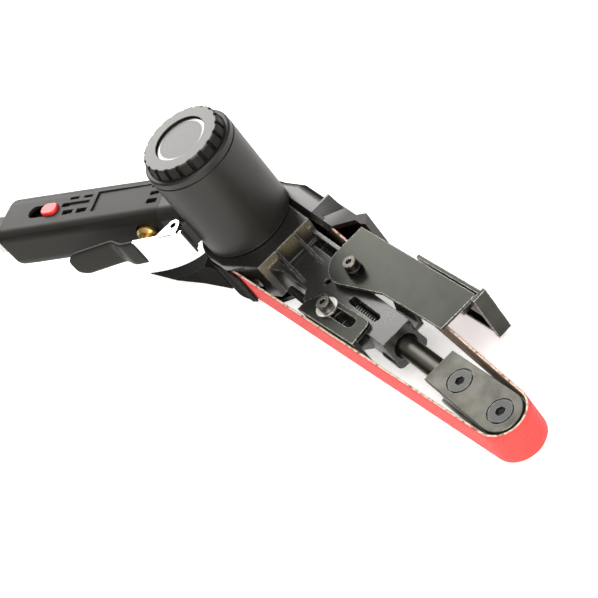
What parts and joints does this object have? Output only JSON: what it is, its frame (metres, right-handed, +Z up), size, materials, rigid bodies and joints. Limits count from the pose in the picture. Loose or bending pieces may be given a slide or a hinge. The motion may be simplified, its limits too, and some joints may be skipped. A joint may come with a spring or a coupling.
{
  "type": "air belt sander",
  "caption": "Hand held air belt sander with an upright vane motor, a throttle lever handle and a swivelling arm that carries a narrow abrasive belt, its guard and platen.",
  "frame": {"origin": "on the motor axis, at the flat underside of the pulley housing that the tool lies on", "axes": "+Z up the motor axis, +X from the motor axis along the arm to the tip, +Y across the arm"},
  "size_m": [0.347, 0.1332, 0.09],
  "materials": {
    "motor_black": "black anodised, satin",
    "cap_black": "moulded, satin",
    "seal_rubber": "smooth",
    "disc_metal": "brushed, bare",
    "liner_iron": "ground",
    "bright_steel": "machined",
    "dark_steel": "black oxide",
    "grip_plastic": "moulded, satin",
    "felt": "pressed felt",
    "brass": "machined",
    "vane_resin": "laminated resin",
    "pulley_metal": "turned",
    "chrome": "bright plated",
    "dip_vinyl": "dipped, smooth",
    "spring_steel": "drawn wire",
    "red_plastic": "moulded",
    "cast_black": "die cast, black paint",
    "cover_black": "moulded, satin",
    "abrasive": "coated abrasive cloth",
    "bolt_steel": "plain, lightly oiled",
    "washer_zinc": "zinc plated",
    "rod_steel": "turned, dark",
    "blued_steel": "phosphated sheet",
    "tip_screw_steel": "black oxide, worn",
    "bronze": "sintered"
  },
  "bodies": {
    "motor_body": {"motor_housing": "motor_black", "motor_cap": "cap_black", "cap_seal": "seal_rubber", "cap_disc": "disc_metal", "cylinder_liner": "liner_iron", "front_end_plate": "liner_iron", "rear_end_plate": "liner_iron", "front_bearing": "bright_steel", "rear_bearing": "bright_steel", "swivel_retainer": "dark_steel", "retainer_screws": "dark_steel", "handle_grip": "grip_plastic", "grip_screw": "dark_steel", "exhaust_silencer": "felt", "inlet_bushing": "bright_steel", "inlet_screen": "brass", "valve_bush": "brass", "lever_pin": "dark_steel", "valve_spring": "spring_steel"},
    "rotor": {"rotor": "bright_steel", "rotor_vanes": "vane_resin", "drive_pulley": "pulley_metal", "pulley_nut": "bright_steel"},
    "lever": {"throttle_lever": "chrome", "lever_grip": "dip_vinyl"},
    "valve": {"valve_stem": "brass"},
    "regulator": {"regulator_slide": "red_plastic"},
    "head": {"arm_casting": "cast_black", "pulley_housing": "cover_black", "housing_screws": "dark_steel", "abrasive_belt": "abrasive", "tension_spring": "spring_steel", "spring_plug": "dark_steel", "plug_screw": "dark_steel", "guard_bolt": "bolt_steel", "guard_washer": "dark_steel", "guard_spacer": "dark_steel", "platen_bolt": "bolt_steel", "platen_washer": "washer_zinc"},
    "tip": {"tension_rod": "rod_steel", "tip_block": "blued_steel", "tip_plate_near": "blued_steel", "tip_plate_far": "blued_steel", "tip_screws": "tip_screw_steel", "roller_axle": "bright_steel"},
    "tip_roller": {"tip_roller": "rod_steel", "roller_bush": "bronze"},
    "guard": {"belt_guard": "blued_steel", "guard_hood": "blued_steel", "hood_screws": "bolt_steel"},
    "platen": {"platen_bracket": "blued_steel"},
    "tracking": {"tracking_screw": "dark_steel"}
  },
  "joints": [
    {"name": "head_swivel", "type": "hinge", "parent": "motor_body", "child": "head", "pos_m": [0, 0, 0], "axis": [0, 0, 1], "range_deg": [-55, 125]},
    {"name": "rotor_spin", "type": "hinge", "parent": "motor_body", "child": "rotor", "pos_m": [0, 0, 0], "axis": [0, 0, 1], "continuous": true},
    {"name": "roller_spin", "type": "hinge", "parent": "tip", "child": "tip_roller", "pos_m": [0.203, 0, 0], "axis": [0, 0, 1], "continuous": true},
    {"name": "tension_slide", "type": "slide", "parent": "head", "child": "tip", "axis": [1, 0, 0], "range_m": [-0.01, 0], "stiffness_N_per_m": 2500, "springref_m": 0.008, "deforming": ["tension_spring"]},
    {"name": "guard_swing", "type": "hinge", "parent": "head", "child": "guard", "pos_m": [0.0845, 0.011, 0], "axis": [0, 0, 1], "range_deg": [-1, 60]},
    {"name": "platen_slide", "type": "slide", "parent": "head", "child": "platen", "axis": [0.9979, 0.0645, 0], "range_m": [-0.0175, 0.0025]},
    {"name": "tracking_turn", "type": "hinge", "parent": "head", "child": "tracking", "pos_m": [0.0555, -0.0122, 0.0175], "axis": [1, 0, 0], "range_deg": [-360, 360]},
    {"name": "throttle_press", "type": "hinge", "parent": "motor_body", "child": "lever", "pos_m": [-0.00566, -0.02887, 0.045], "axis": [0, 0, -1], "range_deg": [0, 7.5], "stiffness_Nm_per_rad": 0.9, "springref_deg": -14.32},
    {"name": "valve_slide", "type": "slide", "parent": "motor_body", "child": "valve", "axis": [-0.5736, 0.8192, 0], "range_m": [0, 0.0034], "deforming": ["valve_spring"]},
    {"name": "regulator_move", "type": "slide", "parent": "motor_body", "child": "regulator", "axis": [-0.8192, -0.5736, 0], "range_m": [0, 0.009]}
  ],
  "couplings": [
    {"joint": "roller_spin", "follows": "rotor_spin", "ratio": 2.1391},
    {"joint": "valve_slide", "follows": "throttle_press", "m_per_rad": 0.0255}
  ]
}
